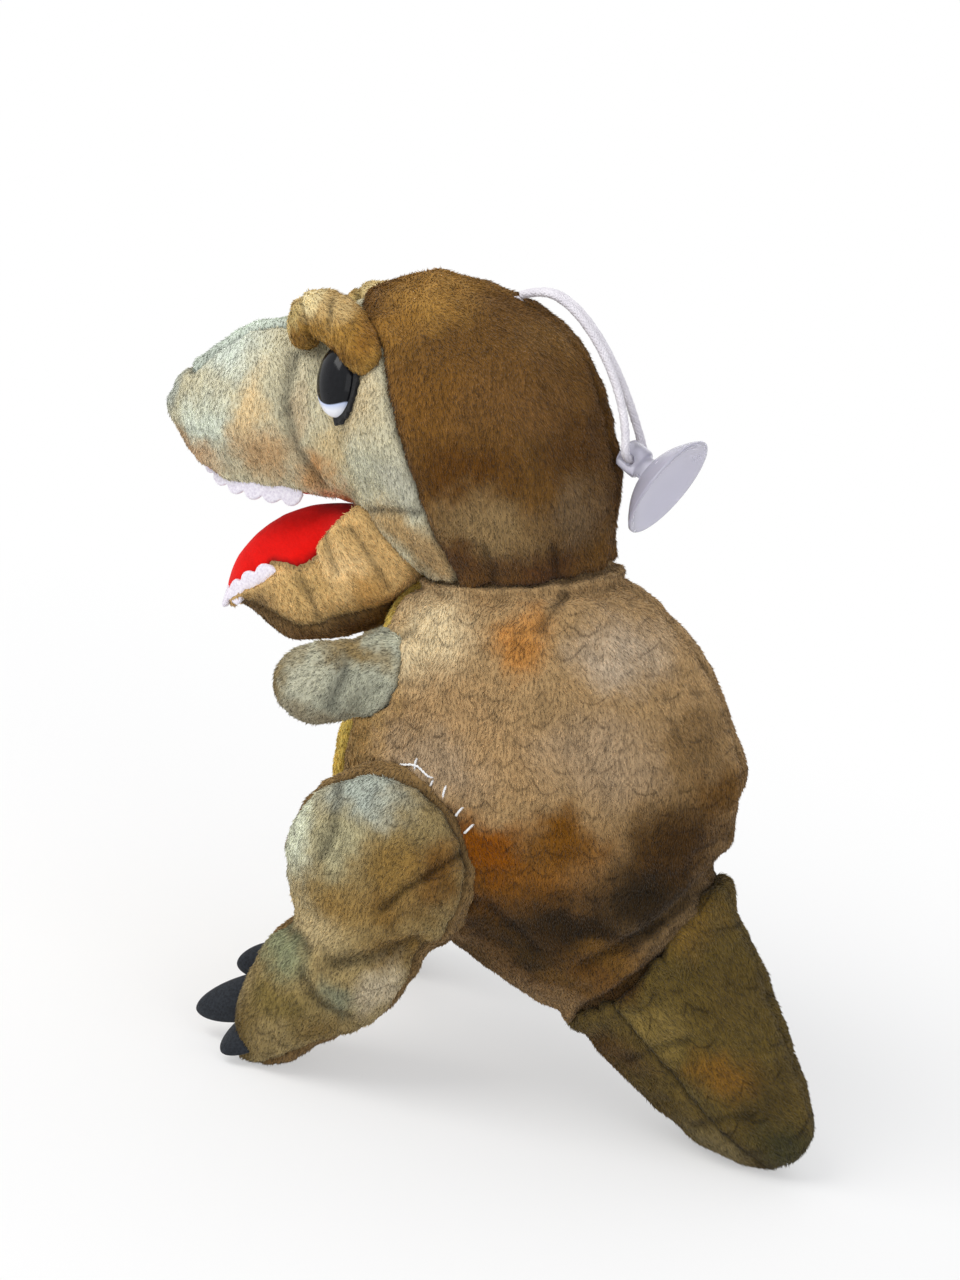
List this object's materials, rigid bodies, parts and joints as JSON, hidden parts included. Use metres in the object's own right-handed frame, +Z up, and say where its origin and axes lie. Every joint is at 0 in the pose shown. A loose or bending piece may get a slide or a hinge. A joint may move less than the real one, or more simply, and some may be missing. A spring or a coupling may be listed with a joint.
{
  "type": "stuffed dinosaur",
  "caption": "Small plush theropod dinosaur with an open mouth, felt teeth and claws, and a cord loop with a suction cup for hanging it on glass.",
  "frame": {"origin": "on the surface that the toy stands on, under the middle of its length and on its mirror plane, leaving out the cord loop and the suction cup", "axes": "nose along -Y, the toy's left side along +X, +Z up"},
  "size_m": [0.1206, 0.2282, 0.211],
  "materials": {
    "brown_plush": "short-pile plush, airbrushed brown",
    "grey_green_plush": "short-pile plush, airbrushed grey-green",
    "snout_plush": "short-pile plush, airbrushed pale grey-beige",
    "gold_plush": "short-pile plush, golden brown",
    "belly_plush": "short-pile plush, yellow",
    "red_lining": "bright red brushed cloth",
    "white_felt": "white felt",
    "black_felt": "blue-black felt",
    "white_cord": "white braided cord",
    "white_thread": "white sewing thread",
    "fibrefill": "white polyester fibrefill",
    "black_eye": "polished black plastic",
    "white_washer": "white moulded plastic",
    "clear_pvc": "clear soft plastic"
  },
  "bodies": {
    "torso": {"belly_panel": "belly_plush", "torso_side_left": "brown_plush", "torso_side_right": "brown_plush", "torso_fill": "fibrefill", "hip_stitches": "white_thread"},
    "tail": {"tail_under_panel": "brown_plush", "tail_side_left": "brown_plush", "tail_side_right": "brown_plush", "tail_fill": "fibrefill"},
    "head": {"nose_bridge": "snout_plush", "mouth_roof_lining": "red_lining", "skull_left": "brown_plush", "skull_right": "brown_plush", "cheek_left": "snout_plush", "cheek_right": "snout_plush", "head_fill": "fibrefill", "brow_left": "gold_plush", "brow_right": "gold_plush", "eye_left": "black_eye", "eye_right": "black_eye", "eye_washer_left": "white_washer", "eye_washer_right": "white_washer", "eye_felt_left": "black_felt", "eye_felt_right": "black_felt", "upper_teeth": "white_felt", "cord_knot": "white_cord"},
    "jaw": {"mouth_floor_lining": "red_lining", "jaw_under_panel": "brown_plush", "jaw_side_left": "brown_plush", "jaw_side_right": "brown_plush", "jaw_fill": "fibrefill", "lower_teeth": "white_felt"},
    "hanger": {"hanger_cord": "white_cord", "suction_cup": "clear_pvc"},
    "arm_left": {"arm_outer_left": "grey_green_plush", "arm_inner_left": "grey_green_plush", "arm_fill_left": "fibrefill"},
    "leg_left": {"leg_outer_left": "grey_green_plush", "leg_inner_left": "brown_plush", "sole_left": "brown_plush", "leg_fill_left": "fibrefill", "claws_left": "black_felt"},
    "arm_right": {"arm_outer_right": "grey_green_plush", "arm_inner_right": "grey_green_plush", "arm_fill_right": "fibrefill"},
    "leg_right": {"leg_outer_right": "grey_green_plush", "leg_inner_right": "brown_plush", "sole_right": "brown_plush", "leg_fill_right": "fibrefill", "claws_right": "black_felt"}
  },
  "joints": [
    {"name": "neck_turn", "type": "hinge", "parent": "torso", "child": "head", "pos_m": [0, 0.00059, 0.12191], "axis": [0, -0.2924, 0.9563], "range_deg": [-12, 12], "stiffness_Nm_per_rad": 0.15},
    {"name": "jaw_close", "type": "hinge", "parent": "head", "child": "jaw", "pos_m": [0, -0.0415, 0.131], "axis": [-1, 0, 0], "range_deg": [0, 20], "stiffness_Nm_per_rad": 0.06},
    {"name": "tail_wag", "type": "hinge", "parent": "torso", "child": "tail", "pos_m": [0, 0.04587, 0.05273], "axis": [0, 0.4939, 0.8695], "range_deg": [-12, 12], "stiffness_Nm_per_rad": 0.2},
    {"name": "hanger_swing", "type": "hinge", "parent": "head", "child": "hanger", "pos_m": [0, -0.0225, 0.2072], "axis": [1, 0, 0], "range_deg": [0, 110]},
    {"name": "arm_left_lift", "type": "hinge", "parent": "torso", "child": "arm_left", "pos_m": [0.0255, -0.028, 0.1035], "axis": [-1, 0, 0], "range_deg": [-10, 25], "stiffness_Nm_per_rad": 0.03},
    {"name": "leg_left_swing", "type": "hinge", "parent": "torso", "child": "leg_left", "pos_m": [0.04, -0.0105, 0.0595], "axis": [-1, 0, 0], "range_deg": [-12, 12], "stiffness_Nm_per_rad": 0.5},
    {"name": "arm_right_lift", "type": "hinge", "parent": "torso", "child": "arm_right", "pos_m": [-0.0255, -0.028, 0.1035], "axis": [-1, 0, 0], "range_deg": [-10, 25], "stiffness_Nm_per_rad": 0.03},
    {"name": "leg_right_swing", "type": "hinge", "parent": "torso", "child": "leg_right", "pos_m": [-0.04, -0.0105, 0.0595], "axis": [-1, 0, 0], "range_deg": [-12, 12], "stiffness_Nm_per_rad": 0.5}
  ]
}
